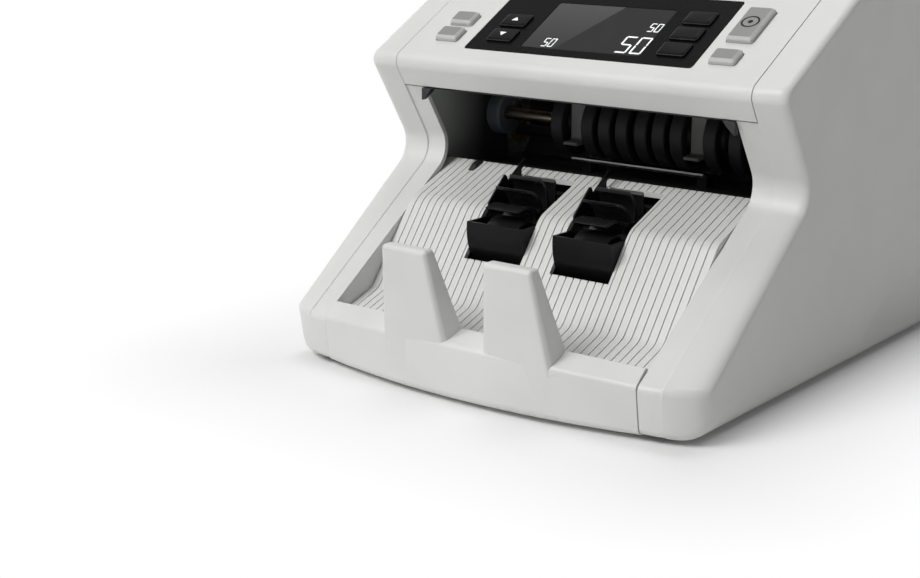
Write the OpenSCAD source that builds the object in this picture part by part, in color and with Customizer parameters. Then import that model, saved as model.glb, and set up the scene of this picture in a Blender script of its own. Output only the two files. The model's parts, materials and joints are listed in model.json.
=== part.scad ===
// Desktop banknote counter: moulded housing, note path, stacker and hopper.
// Lengths are millimetres. Outlines are drawn as (y, z) with y = 0 on the crease of the front bar,
// and the finished pieces are moved so that the origin is under the middle of the body.

/* [Body] */
// Overall width over the side covers
body_w = 250; // [244:1:280]
// Overall depth from the tips of the note stops to the back
body_d = 299; // [295:1:330]
// Height of the edge behind the control panel
top_z = 197.3; // [195:0.1:208]
// How much higher the rear end of the top edge lies
top_rise = 5.7; // [2:0.1:10]
// Height of the rubber feet
foot_h = 2.6; // [2.4:0.1:6]
// Wall of the moulded covers
wall = 2.6; // [2:0.1:3]
// Width of the side covers' rim beside the control panel
rim_w = 18; // [17.5:0.5:24]
// Width of the extra lip beside the stacker opening
lip_w = 12; // [9:0.5:14]
// Width of the rounded outer edge
edge_x = 5; // [3:0.5:7]
// Setback of the rounded outer edge
edge_set = 3; // [2:0.5:4]
// Width of the covers' rounded lower edge
tuck_w = 12.5; // [8:0.5:14]
// Height of the covers' rounded lower edge
tuck_h = 11.5; // [8:0.5:13]

/* [Front profile] */
// Slope of the control panel in degrees
panel_slope = 28.7; // [26:0.1:31]
// Depth of the nose corner behind the bar's crease
nose_y = 71; // [68:0.5:74]
// Height of the nose corner
nose_z = 153; // [151:0.5:155]
// Depth of the waist corner
waist_y = 104.6; // [102:0.2:108]
// Height of the waist corner
waist_z = 99.8; // [97:0.2:102]
// Height of the front bar's crease at its ends
kink_z = 26.9; // [25:0.1:29]
// Sweep of the toes towards the sides
toe_sweep = 8; // [4:0.5:10]
// Height of the control panel's lower edge
panel_low_z = 137.8; // [136:0.2:139]

/* [Front bar] */
// How far the bar bows forward at its foot
bar_bow = 8.5; // [6:0.5:10]
// How far the crease bows forward
crease_bow = 6; // [4:0.5:8]
// Crown of the crease in the middle
crease_crown = 2.6; // [1:0.2:4]
// Height of the bar's rear edge
bar_rear_z = 34; // [33:0.5:36]
// Top width of a note stop
stop_top_w = 28; // [24:1:32]
// Foot width of a note stop
stop_foot_w = 40; // [36:1:44]
// Height of the note stops above the table
stop_top_z = 75.5; // [70:0.5:80]
// Distance of each note stop's middle from the centre line
stop_x = 31; // [28:0.5:36]

/* [Stacker] */
// Pitch of the deck's ribs
rib_pitch = 4.4; // [4:0.2:6]
// Width of the groove between two ribs
groove_w = 0.6; // [0.5:0.1:1.2]
// Depth of the grooves
groove_h = 0.6; // [0.4:0.1:1]
// Distance of each stacker wheel from the centre line
wheel_x = 27; // [25:0.5:29]
// Outer radius of the stacker wheels
wheel_r = 26; // [24:0.5:27]
// Number of vanes on a stacker wheel
vanes = 12; // [8:1:16]
// Width of a wheel well in the deck
well_w = 35; // [32:0.5:37]

/* [Note path] */
// Radius of the transport rings
ring_r = 18.5; // [17:0.5:20]
// Width of a transport ring
ring_w = 7.5; // [6:0.5:8]
// Radius of the steel shafts
shaft_r = 3.5; // [3.25:0.25:4.5]
// Radius of the feed rollers
feed_r = 17; // [15:0.5:18]
// Radius of the pickup rollers
pickup_r = 14; // [12:0.5:15]
// How far the pickup rollers stand out of the hopper plate
pickup_out = 2; // [1.5:0.5:3]
// Radius of the pinch rollers
pinch_r = 7; // [6:0.5:8]

/* [Panel] */
// Half width of the black display panel
display_half = 68.7; // [66:0.1:70]
// Height of the black display panel along the slope
display_h = 58; // [56:0.5:62]
// Thickness of the control panel
panel_t = 3; // [2.5:0.1:3.5]
// Thickness of the display panel
display_t = 1.6; // [1.2:0.1:2]
// Travel of a key
key_travel = 1; // [0.6:0.1:1.2]

/* [Clearances] */
// Gap between neighbouring covers
seam = 0.4; // [0.3:0.05:0.6]
// Gap between a moving piece and its neighbours
run_gap = 0.3; // [0.3:0.05:0.5]
// Gap between seated inner pieces
seat = 0.2; // [0.1:0.05:0.3]
// Radial clearance of a shaft in its bush
fit = 0.05; // [0.02:0.01:0.08]

/* [Hidden] */

half_w = body_w / 2;
flat_x = half_w - edge_x;
rim_x = half_w - rim_w;
open_x = rim_x - lip_w;
stop_lean = 8;
stop_front_y = -4.6;
front_y0 = stop_front_y - stop_lean;
rear_y = body_d + front_y0;
bar_back = 10;
deck_front = bar_back + seam;
frame_y = -(rear_y + front_y0) / 2;
arc_n = 8;
edge_n = 4;
tuck_n = 3;

// Shaft places as [y, z]
drum = [157.6, 114.1];
stack = [84, 71];
feed_gap = 0.9;
feed = drum + (ring_r + feed_r + feed_gap) * [cos(50), sin(50)];
motor = [212, 58];
pinch = drum + (ring_r + run_gap + pinch_r) * [cos(-30), sin(-30)];
tray_slope = 23.3;
tray_low = [feed.x + 12, feed.y + 16.6];
tray_t = 2.5;
tray_normal = [-sin(tray_slope), cos(tray_slope)];
pickup_foot = tray_low + 21 * [cos(tray_slope), sin(tray_slope)];
pickup = pickup_foot - (pickup_r - pickup_out) * tray_normal;
motor_r = 24;
motor_l = 56;
drum_pulley_r = 9;
feed_pulley_r = 8;
stack_pulley_r = 5.2;
motor_pulley_r = 6;
pickup_pulley_r = 8;

// Housing profile
nose = [nose_y, nose_z];
waist = [waist_y, waist_z];
toe_back = 3.6;
top_front_y = nose_y + (top_z - nose_z) / tan(panel_slope);
hopper_front = tray_low.x - 3.5;
hopper_l = 48.4;
cover_lip_y = hopper_front + hopper_l;
cover_lip_l = 12.5;
top_rear = [cover_lip_y + cover_lip_l, top_z + top_rise];
rear_chamfer = rear_y - top_rear.x;
rear_shoulder = [rear_y, top_rear.y - rear_chamfer];
side_r = [5, 8, min(18, 1.5 * rear_chamfer), min(20, 1.6 * rear_chamfer), 14, 6.5, 13, 4.5];
edge_share = [1, 1.2, 1.2, 1, 1, 1, 1, 1];
land_drop = 0.8;
lip_drop = [0.4, 0.5, 0.5, 0.5, 0.5, land_drop, 0.55, 0.2];
lip_t = wall + 0.6;
grip_depth = 1.6;

// Inner frame
plate_t = 1.6;
plate_in = rim_x - 1.4 - plate_t;
flange_w = 10;
frame_top = 178;
plate_out = plate_in + plate_t;
bay_wall_t = 1;
bay_x = plate_in - seat - bay_wall_t;
floor_z = foot_h + 2.5;
bush_r = shaft_r + 3;
bush_flange_r = bush_r + 1.5;
bush_out = 3;
belt_w = 4.4;
belt_t = 1.4;
pulley_step = belt_w + 2.2;
pulley_x = plate_out + bush_out + run_gap;
flange_t = 0.9;

// Display and keys, in the panel plane from the display's lower edge
display_y = 83.4;
key_float = run_gap;
board_depth = 9;
switch_t = 0.4;
board_t = 1.6;
ledge = 4;
window_half = 35.8;
window_low = 6;
window_h = 41;
grey_w = 14.4;
grey_h = 10.4;
black_w = 16;
black_h = 10.6;
start_h = 27.5;
key_left_share = 0.4;
key_right_share = 0.358;
black_x = (window_half + display_half) / 2 + 0.35;
grey_out = 3;
black_out = 1.8;
row_low = 10;
row_pitch = 13.6;

// Hopper
throat_z = feed.y + feed_r + 8;
tray_rear_y = cover_lip_y - seam;
tray_wall_t = 2.2;
tray_wall_x = plate_in - seat - tray_wall_t;
rail_r = 3;
rail_y = cover_lip_y - 8;
rail_z = tray_z(rail_y) + 10;
guide_rest_x = open_x - 15;
fence_t = 3;
guide_boss_r = 6;
guide_boss_l = 14;
knob_r = 11;
knob_h = 8.5;
stem_r = 3;
knob_y = feed.x - 3;
stem_l = top_line_z(knob_y) - throat_z;
hinge = [rear_y - 3.5, 82];
hinge_r = 3.2;
pin_r = 1.5;

function unit(v) = v / norm(v);
function cross2(a, b) = a.x * b.y - a.y * b.x;
function ring_item(list, i) = list[(i + len(list)) % len(list)];
function meet(p, q) =
    let(u = p[1] - p[0], w = q[1] - q[0])
    p[0] + u * cross2(q[0] - p[0], w) / cross2(u, w);
function shifted(a, b, d) = let(n = [a.y - b.y, b.x - a.x] * d / norm(b - a)) [a + n, b + n];
function bend(a, b, c) = sign(cross2(b - a, c - b));
// Arc of n steps that rounds the corner at b
function corner(a, b, c, r, n) =
    let(u = unit(a - b), w = unit(c - b), half = acos(max(-1, min(1, u * w))) / 2,
        m = b + unit(u + w) * r / sin(half),
        p = b + u * r / tan(half) - m, q = b + w * r / tan(half) - m,
        s = atan2(p.y, p.x), turn = atan2(cross2(p, q), p * q))
    [for (k = [0:n]) m + r * [cos(s + turn * k / n), sin(s + turn * k / n)]];
// Closed outline with each side moved in by its own d
function inset(v, d) = [for (i = [0:len(v) - 1])
    meet(shifted(ring_item(v, i - 1), v[i], ring_item(d, i - 1)),
        shifted(v[i], ring_item(v, i + 1), d[i]))];
function rounded(v, r, n) = [for (i = [0:len(v) - 1])
    each corner(ring_item(v, i - 1), v[i], ring_item(v, i + 1), r[i], n)];
// Open outline moved to its left by d, with its corners rounded
function path_points(v, d) = [for (i = [0:len(v) - 1])
    i == 0 ? shifted(v[0], v[1], d)[0] :
    i == len(v) - 1 ? shifted(v[i - 1], v[i], d)[1] :
    meet(shifted(v[i - 1], v[i], d), shifted(v[i], v[i + 1], d))];
function path(v, r, d, n) = let(w = path_points(v, d), last = len(v) - 1)
    concat([w[0]],
        [for (i = [1:last - 1]) each corner(w[i - 1], w[i], w[i + 1],
            max(0.4, r[i] - bend(v[i - 1], v[i], v[i + 1]) * d), n)], [w[last]]);
function reversed(v) = [for (i = [len(v) - 1:-1:0]) v[i]];
// Band between two copies of an open outline
function band(v, r, d0, d1, n) = concat(path(v, r, d0, n), reversed(path(v, r, d1, n)));

function slope_z(y) = nose_z + (y - nose_y) * tan(panel_slope);
function top_line_z(y) = top_z + top_rise * (y - top_front_y) / (top_rear.x - top_front_y);
function front_y(z) = nose_y + (waist_y - nose_y) * (nose_z - z) / (nose_z - waist_z);
function tray_z(y) = tray_low.y + (y - tray_low.x) * tan(tray_slope);
function kink_y(x) = toe_sweep * pow(max(0, (x - open_x) / (flat_x - open_x)), 2);
// Height of the cover's foot at x, a quarter of an ellipse at its outer end
function foot_line(x) =
    let(u = min(1, max(0, (x - half_w + tuck_w) / tuck_w)))
    foot_h + tuck_h * (1 - sqrt(1 - u * u));
function side_corners(x) = [[kink_y(x) + toe_back, foot_line(x)], [rear_y, foot_line(x)],
    rear_shoulder, top_rear, [top_front_y, top_z], nose, waist, [kink_y(x), kink_z]];
// Side cover outline at x, drawn in by d times each side's share
function side_outline(x, d) =
    let(v = side_corners(x))
    rounded(inset(v, edge_share * d),
        [for (i = [0:len(v) - 1]) max(0.6, side_r[i] - bend(ring_item(v, i - 1), v[i], ring_item(v,
            i + 1)) * d)], arc_n);
function bar_fall(x) = 1 - pow(x / open_x, 2);

bar_corner_r = 4;
function bar_corners(x) = [[toe_back - (bar_bow + toe_back + 0.5) * bar_fall(x), foot_h],
    [bar_back, foot_h], [bar_back, bar_rear_z - 0.6], [bar_back - 1.8, bar_rear_z],
    [-crease_bow * bar_fall(x), kink_z + crease_crown * bar_fall(x)]];
bar_r = [bar_corner_r, 0.8, 0.6, 0.6, 3];

// Extrudes a (y, z) outline from x0 to x1
module along_x(x0, x1) translate([x0, 0, 0]) rotate([90, 0, 90]) linear_extrude(x1 - x0) children();
module rod_x(at, r, x0, x1) translate([x0, at.x, at.y]) rotate([0, 90, 0])
    cylinder(r = r, h = x1 - x0, $fn = 48);
module placed() translate([0, frame_y, 0]) children();
module both_sides() {
    children();
    mirror([1, 0, 0]) children();
}
// Solid through outlines that have as many points each, at the places xs
module loft(xs, outlines) {
    n = len(outlines[0]);
    m = len(xs);
    points = [for (k = [0:m - 1]) for (p = outlines[k]) [xs[k], p.x, p.y]];
    sides = [for (k = [0:m - 2]) for (i = [0:n - 1]) for (t = [0, 1])
        t == 0 ? [k * n + i, (k + 1) * n + i, (k + 1) * n + (i + 1) % n] :
            [k * n + i, (k + 1) * n + (i + 1) % n, k * n + (i + 1) % n]];
    polyhedron(points, concat([[for (i = [0:n - 1]) i]],
        [[for (i = [n - 1:-1:0]) (m - 1) * n + i]], sides), convexity = 8);
}
// Puts a piece on the panel: x across, y up the slope, z out of the panel
module on_panel(x, s, out = 0) translate([x, display_y, slope_z(display_y)]) rotate([panel_slope, 0, 0])
    translate([0, s, out]) children();
module block(size, at = [0, 0, 0]) translate(at - [size.x / 2, size.y / 2, 0]) cube(size);
module rounded_plate(w, h, r) translate([-w / 2, -h / 2])
    polygon(rounded([[0, 0], [w, 0], [w, h], [0, h]], [r, r, r, r], 4));

// Housing
module base_tray() color("gainsboro") {
    x = rim_x - seam;
    y0 = bar_back + seam;
    y1 = rear_y - 2 * wall;
    difference() {
        translate([-x, y0, foot_h]) cube([2 * x, y1 - y0, 12]);
        translate([-x - 1, y0 + wall, floor_z]) cube([2 * x + 2, y1 - y0 - 2 * wall, 20]);
        for (sx = [-1, 1], y = foot_places) translate([sx * foot_x, y, 0])
            cylinder(r = foot_stud_r + fit, h = 20, $fn = 32);
        for (i = [-3:3]) translate([i * 16 - 2, 150, 0]) cube([4, 70, 30]);
        for (sx = [-1, 1], y = screw_places) translate([sx * screw_x, y, 0])
            cylinder(r = screw_r + fit, h = 20, $fn = 24);
    }
}
foot_x = rim_x - 23;
foot_places = [36, rear_y - 30];
foot_r = 9;
foot_stud_r = 3;
screw_x = plate_in - 5;
screw_places = [deck_front + 44, rear_y - 50];
screw_r = 1.25;
module cover_screws() color("silver") for (sx = [-1, 1], y = screw_places)
    translate([sx * screw_x, y, foot_h]) difference() {
    union() {
        translate([0, 0, -1.6]) cylinder(r = 2.8, h = 1.6 - fit, $fn = 32);
        translate([0, 0, -0.5]) cylinder(r = screw_r, h = floor_z - foot_h + seat + plate_t + 2,
            $fn = 24);
    }
    for (a = [0, 90]) rotate(a) translate([-1.8, -0.35, -2]) cube([3.6, 0.7, 1.2]);
}
module rubber_feet() color("dimgray") for (sx = [-1, 1], y = foot_places) translate([sx * foot_x, y, 0])
    rotate_extrude($fn = 48) polygon([[0, 0], [foot_r - 1.5, 0], [foot_r, 1.5], [foot_r, foot_h],
        [foot_stud_r, foot_h], [foot_stud_r, floor_z], [0, floor_z]]);

grip_low = rear_y - 130;
module grip_outline() polygon(rounded([[grip_low, foot_h - 2], [rear_y + 5, foot_h - 2], [rear_y + 5, 40],
    [grip_low + 62, 38.5], [grip_low + 26, 27]], [1, 1, 1, 40, 20], arc_n));
// The lip's outline at x, set back from the cover's outline on every side
function lip_outline(x) =
    let(v = side_corners(x))
    rounded(inset(v, lip_drop), [for (i = [0:len(v) - 1])
        max(0.6, side_r[i] - bend(ring_item(v, i - 1), v[i], ring_item(v, i + 1)) * lip_drop[i])], arc_n);
lip_low = kink_y(rim_x) / 2;
lip_front = [[front_y(panel_low_z - seam), panel_low_z - seam], waist, [lip_low, kink_z],
    [lip_low + toe_back, foot_h]];
// Line at depth d behind the front of the lip, from the panel down to the foot
function lip_path(d) = path(lip_front, [0, side_r[6], side_r[7], 0], d, arc_n);
module side_cover() {
    lip_end = rim_x - 0.1;
    lip_step = 0.2;
    lip_xs = [open_x - 2, (open_x + rim_x) / 2, lip_end - lip_step];
    cover_xs = concat([lip_end + lip_step],
        [for (k = [0:tuck_n]) half_w - tuck_w + (tuck_w - edge_x) * k / tuck_n],
        [for (k = [1:edge_n]) flat_x + edge_x * sin(90 * k / edge_n)], [half_w + 1]);
    ds = concat([for (k = [0:tuck_n + 1]) 0],
        [for (k = [1:edge_n]) edge_set * (1 - cos(90 * k / edge_n))], [edge_set + 0.5]);
    cavity_in = concat([wall + 4.2], [for (k = [1:7]) wall]);
    lip_back = lip_path(lip_t);
    difference() {
        intersection() {
            loft(concat(lip_xs, cover_xs), concat([for (p = lip_xs) lip_outline(p)],
                [for (k = [0:len(cover_xs) - 1]) side_outline(cover_xs[k], ds[k])]));
            translate([open_x, -100, -100]) cube([half_w - open_x, rear_y + 200, top_z + 200]);
        }
        along_x(rim_x - 1, half_w - wall)
            polygon(rounded(inset(side_corners(flat_x), cavity_in),
                [3, 5, max(1, side_r[2] - 3), max(1, side_r[3] - 3), 11, 4, side_r[6] + wall, 3], arc_n));
        along_x(open_x - 1, lip_end) translate([-60, panel_low_z - seam]) square([rear_y + 120, 100]);
        along_x(open_x - 1, lip_end) polygon(concat([[-60, 300], [-60, panel_low_z - seam]], lip_back,
            [[lip_back[len(lip_back) - 1].x, -60], [rear_y + 60, -60], [rear_y + 60, 300]]));
        along_x(half_w - grip_depth, half_w + 1) grip_outline();
    }
}
module right_side_cover() color("whitesmoke") side_cover();
module left_side_cover() color("whitesmoke") mirror([1, 0, 0]) side_cover();

panel_end_y = top_front_y - 9;
panel_path = [[front_y(panel_low_z) + 10, panel_low_z], [front_y(panel_low_z), panel_low_z], nose,
    [panel_end_y, slope_z(panel_end_y)]];
module control_panel() color("whitesmoke") {
    x = rim_x - seam;
    difference() {
        along_x(-x, x) polygon(band(panel_path, [0, 1.2, 6.5, 0], 0, -panel_t, arc_n));
        on_panel(0, display_h / 2, -display_t) linear_extrude(9)
            rounded_plate(2 * display_half + seam, display_h + seam, 2);
        on_panel(0, display_h / 2, -20) linear_extrude(30)
            rounded_plate(2 * (display_half - ledge), display_h - 2 * ledge, 2);
        for (k = grey_keys) on_panel(k[0], k[1], -20) linear_extrude(40)
            rounded_plate(k[2] + 2 * run_gap, k[3] + 2 * run_gap, 1.6);
    }
    for (sx = [-1, 1], s = [8, 48]) on_panel(sx * board_post_x, s, -board_depth + seat) cylinder(r = 2.5,
        h = board_depth - panel_t - seat + 0.2, $fn = 24);
}
board_post_x = display_half - 1.2;
board_half = rim_x - 5;
module display_panel() color([0.09, 0.09, 0.1]) difference() {
    on_panel(0, display_h / 2, -display_t + seat) linear_extrude(display_t - seat)
        rounded_plate(2 * display_half, display_h, 2);
    on_panel(0, window_low + window_h / 2, -9) linear_extrude(20)
        rounded_plate(2 * window_half, window_h, 1.5);
    for (k = black_keys) on_panel(k[0], k[1], -9) linear_extrude(20)
        rounded_plate(k[2] + 2 * run_gap, k[3] + 2 * run_gap, 1.6);
}
module display_window() color([0.2, 0.2, 0.22]) on_panel(0, window_low + window_h / 2, -display_t + seat)
    linear_extrude(display_t - 2 * seat)
        rounded_plate(2 * (window_half - seat), window_h - 2 * seat, 1.4);
module key_board() color("darkgreen") difference() {
    union() {
        on_panel(0, 28, -board_depth - board_t) block([2 * board_half, 52, board_t]);
        on_panel(0, window_low + window_h / 2, -board_depth - 0.2)
            block([2 * window_half - 2, window_h - 2, board_depth - display_t + 0.2 - seat]);
        for (k = concat(grey_keys, black_keys)) on_panel(k[0], k[1], -board_depth - 0.2)
            block([6, 6, switch_t + 0.2]);
    }
    for (sx = [-1, 1], s = [8, 48]) on_panel(sx * board_post_x, s, -board_depth - 5)
        cylinder(r = 1.2, h = 9, $fn = 24);
}
// Keys as [x, s, width, height, height above the panel]
function key_column(share) = display_half + share * (rim_x - display_half);
left_key_x = -key_column(key_left_share);
right_key_x = key_column(key_right_share);
grey_keys = [[left_key_x, row_low + grey_h + 4.2, grey_w, grey_h], [left_key_x, row_low, grey_w, grey_h],
    [right_key_x, row_low + grey_h / 2 + 8.1 + start_h / 2, grey_w, start_h],
    [right_key_x, row_low, grey_w, grey_h]];
black_keys = [[-black_x + 1.2, row_low + row_pitch + 3.2, black_w, black_h], [-black_x + 1.2,
    row_low + 3.2, black_w, black_h],
    [black_x, row_low + 2 * row_pitch + 3, black_w, black_h],
    [black_x, row_low + row_pitch + 3, black_w, black_h],
    [black_x, row_low + 3, black_w, black_h]];
module key(k, out, skin) {
    skirt = 1.2;
    under = -skin - key_float;
    stem_z = -board_depth + switch_t + key_travel + run_gap;
    on_panel(k[0], k[1]) {
        hull() {
            translate([0, 0, under - 0.6]) linear_extrude(out * 0.6 - under + 0.6)
                rounded_plate(k[2], k[3], 1.4);
            translate([0, 0, out - 0.3]) linear_extrude(0.3) rounded_plate(k[2] - 2.4, k[3] - 2.4, 1);
        }
        translate([0, 0, under - 1]) linear_extrude(1)
            rounded_plate(k[2] + 2 * skirt, k[3] + 2 * skirt, 1.6);
        translate([0, 0, stem_z]) cylinder(r = 2.4, h = under - stem_z, $fn = 24);
    }
}
module grey_key(i) color("darkgray") key(grey_keys[i], grey_out, panel_t);
module black_key(i) color([0.08, 0.08, 0.09]) key(black_keys[i], black_out, display_t);
module key_left_upper() grey_key(0);
module key_left_lower() grey_key(1);
module key_start() grey_key(2);
module key_clear() grey_key(3);
module key_up() black_key(0);
module key_down() black_key(1);
module key_mode_upper() black_key(2);
module key_mode_middle() black_key(3);
module key_mode_lower() black_key(4);

stop_edge = 2.4;
module note_stop() hull() {
    for (s = [-1, 1]) {
        translate([stop_x + s * (stop_top_w / 2 - stop_edge), stop_front_y - stop_lean + stop_edge,
            stop_top_z - stop_edge])
            sphere(r = stop_edge, $fn = 24);
        translate([stop_x + s * (stop_top_w / 2 - stop_edge),
            stop_front_y - stop_lean + 2 * stop_edge + 1, stop_top_z - stop_edge])
            sphere(r = stop_edge, $fn = 24);
        translate([stop_x + s * (stop_foot_w / 2 - stop_edge), stop_front_y + stop_edge, kink_z - 4])
            cylinder(r = stop_edge, h = 6, $fn = 24);
        translate([stop_x + s * (stop_foot_w / 2 - stop_edge), bar_back - stop_edge, kink_z - 4])
            cylinder(r = stop_edge, h = 10, $fn = 24);
    }
}
module front_bar() color("whitesmoke") {
    x = open_x - seam;
    steps = 8;
    xs = [for (k = [-steps:steps]) x * k / steps];
    loft(xs, [for (p = xs) rounded(bar_corners(p), bar_r, 5)]);
    both_sides() note_stop();
}

// Stacker bay
deck_path = [[deck_front, 26], [deck_front + 27, 35.5], [71, 79.5], [110, 95]];
deck_r = [0, 9, 15, 0];
deck_t = 2.2;
deck_x = bay_x - seat;
well_front = 53;
well_rear = stack.x + 20;
leg_r = 3.5;
module deck_sheet(d0, d1) polygon(band(deck_path, deck_r, -d0, -d1, arc_n));
module stacker_deck() color("whitesmoke") {
    rib_w = rib_pitch - groove_w;
    ribs = floor((deck_x - rib_w / 2) / rib_pitch);
    lip_line = lip_path(lip_t + seam);
    difference() {
        union() {
            along_x(-deck_x, deck_x) deck_sheet(groove_h, groove_h + deck_t);
            for (i = [-ribs:ribs]) along_x(i * rib_pitch - rib_w / 2, i * rib_pitch + rib_w / 2)
                deck_sheet(0, groove_h + 0.3);
        }
        both_sides() translate([wheel_x - well_w / 2, well_front, 0]) cube([well_w,
            well_rear - well_front, 150]);
        both_sides() along_x(open_x - seam, rim_x)
            polygon(concat([[-60, 300], [lip_line[0].x, 300]], lip_line,
            [[lip_line[len(lip_line) - 1].x, -60], [-60, -60]]));
    }
    for (sx = [-1, 1], y = [60, 100]) translate([sx * (plate_in - flange_w - leg_r - seat), y, floor_z])
        cylinder(r = leg_r, h = (y == 60 ? 58 : 88) - floor_z, $fn = 24);
}
shroud_gap = 2;
shroud_t = 1.2;
// Fin beside a wheel as seen from the side, from the wheel's middle
shroud_fin = [[-10, 2], [17.2, 2], [17.2, 24.5], [22, 28.5], [20.5, 30.5], [5.5, 20], [3, 24.2],
    [-11.5, 11]];
module shroud_outline(r, top) translate(stack) intersection() {
    circle(r = r, $fn = 64);
    translate([-2 * r, top - 4 * r]) square(4 * r);
}
module wheel_shroud(x) {
    inner = wheel_r + shroud_gap;
    x0 = x - well_w / 2 + seat;
    x1 = x + well_w / 2 - seat;
    difference() {
        union() {
            along_x(x0, x1) shroud_outline(inner + shroud_t, 4);
            along_x(x0 + 0.1, x0 + shroud_t - 0.1) translate(stack)
                polygon(rounded(shroud_fin, [1, 1, 2, 1, 1, 1, 1, 1], 3));
            translate([x - 6, stack.x - 6, floor_z]) cube([12, 12, stack.y - inner - 0.5 - floor_z]);
        }
        along_x(x0 + shroud_t, x1 - shroud_t) shroud_outline(inner, 9);
        rod_x(stack, shaft_r + 2, x0 - 1, x1 + 1);
    }
}
module wheel_shrouds() color([0.06, 0.06, 0.07]) for (sx = [-1, 1]) wheel_shroud(sx * wheel_x);
bay_wall_rear = drum.x + bush_r + 5;
bay_wall_path = [[deck_front + 12, floor_z + 8], [deck_front + 12, 32], [waist_y + 9, waist_z - 1],
    [front_y(panel_low_z) + 13, panel_low_z - 1.5], [bay_wall_rear, panel_low_z - 1.5],
    [bay_wall_rear, floor_z + 8]];
module bay_wall() along_x(bay_x, bay_x + bay_wall_t) difference() {
    polygon(path(bay_wall_path, [0, 3, 13, 2, 2, 0], 0, 4));
    for (p = [stack, drum]) translate(p) circle(r = bush_flange_r + seat, $fn = 48);
    translate(tie_places[0]) circle(r = tie_r + seat, $fn = 32);
}
module bay_walls() color("dimgray") both_sides() bay_wall();
ceiling_z = panel_low_z - 3;
module bay_ceiling() color([0.08, 0.08, 0.09]) {
    x = bay_x - seat;
    translate([-x, front_y(panel_low_z) + 13, ceiling_z]) cube([2 * x, 40, 1.4]);
    translate([-x, front_y(panel_low_z) + 13, ceiling_z]) cube([2 * x, 1.4, 6]);
}

liner_floor = 87;
liner_rear = pinch.x + pinch_r + 3.7;
liner_path = [[114, liner_floor - 7], [114, liner_floor + 4], [134, liner_floor + 4], [144, liner_floor],
    [liner_rear - 7, liner_floor], [liner_rear, liner_floor + 7], [liner_rear, 119]];
module bay_liner() color([0.05, 0.05, 0.06]) along_x(-bay_x + seat, bay_x - seat)
    polygon(band(liner_path, [0, 1.5, 4, 4, 4, 4, 0], 0, -1.4, 3));

// Inner frame
frame_outline = [[deck_front + 18, floor_z + seat], [rear_y - 18, floor_z + seat], [rear_y - 18, 105],
    [pickup.x + 23.4, frame_top], [hopper_front - 12, frame_top], [126, 150], [106, 136],
    [waist_y + 16, waist_z + 3],
        [deck_front + 18, 30]];
frame_r = [2, 2, 14, 6, 6, 14, 6, 13, 6];
shaft_places = [stack, drum, pinch, feed, pickup];
tie_places = [[130, 30], motor + [0, 34], [rear_y - 40, 128], [124, 143]];
tie_r = 4;
module frame_plate(side) {
    x0 = side > 0 ? plate_in : -plate_out;
    difference() {
        along_x(x0, x0 + plate_t) polygon(rounded(frame_outline, frame_r, 4));
        for (p = shaft_places) rod_x(p, bush_r + fit, x0 - 1, x0 + plate_t + 1);
        for (p = tie_places) rod_x(p, 2 + fit, x0 - 1, x0 + plate_t + 1);
        if (side < 0) rod_x(motor, 9, x0 - 1, x0 + plate_t + 1);
        along_x(x0 - 1, x0 + plate_t + 1)
            polygon(rounded([[151, 20], [183, 20], [174, 72], [138, 78]], [6, 6, 6, 6], 4));
    }
    difference() {
        for (y = screw_places) translate([side > 0 ? plate_in - flange_w : -plate_in - 0.3, y - 20,
            floor_z + seat])
            cube([flange_w + 0.3, 40, plate_t]);
        for (y = screw_places) translate([side * screw_x, y, 0])
            cylinder(r = screw_r + fit, h = 20, $fn = 24);
    }
}
module right_frame_plate() color("silver") frame_plate(1);
module left_frame_plate() color("silver") frame_plate(-1);
module tie_bars() color("silver") for (p = tie_places) {
    rod_x(p, tie_r, -plate_in + seat / 2, plate_in - seat / 2);
    rod_x(p, 2, -plate_out - 1, plate_out + 1);
}
module bearings() color("goldenrod") for (p = shaft_places, sx = [-1, 1]) difference() {
    union() {
        rod_x(p, bush_r, sx > 0 ? plate_in - 1.5 : -plate_out - bush_out,
            sx > 0 ? plate_out + bush_out : -plate_in + 1.5);
        rod_x(p, bush_flange_r, sx > 0 ? plate_in - 1.5 : -plate_in + seat / 2,
            sx > 0 ? plate_in - seat / 2 : -plate_in + 1.5);
    }
    rod_x(p, shaft_r + fit, -half_w, half_w);
}
function shaft_end(rows) = pulley_x + rows * pulley_step;
module shaft(at, left_rows, right_rows) rod_x(at, shaft_r,
    -(left_rows > 0 ? shaft_end(left_rows) : plate_out + bush_out),
        right_rows > 0 ? shaft_end(right_rows) : plate_out + bush_out);
// Toothed pulley with two flanges in belt row n of a side
module pulley(at, r, side, n, bore = shaft_r + fit) {
    w = pulley_step - run_gap;
    teeth = floor(2 * PI * r / 3);
    x0 = pulley_x + n * pulley_step;
    difference() {
        union() {
            rod_x(at, r, side > 0 ? x0 : -x0 - w, side > 0 ? x0 + w : -x0);
            for (dx = [0, w - flange_t]) rod_x(at, r + belt_t + 0.8,
                side > 0 ? x0 + dx : -x0 - dx - flange_t, side > 0 ? x0 + dx + flange_t : -x0 - dx);
        }
        rod_x(at, bore, -half_w, half_w);
        for (k = [0:teeth - 1]) rod_x(at + r * [cos(360 * k / teeth), sin(360 * k / teeth)], 0.7,
            side > 0 ? x0 + flange_t : -x0 - w + flange_t, side > 0 ? x0 + w - flange_t : -x0 - flange_t);
    }
}
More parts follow.
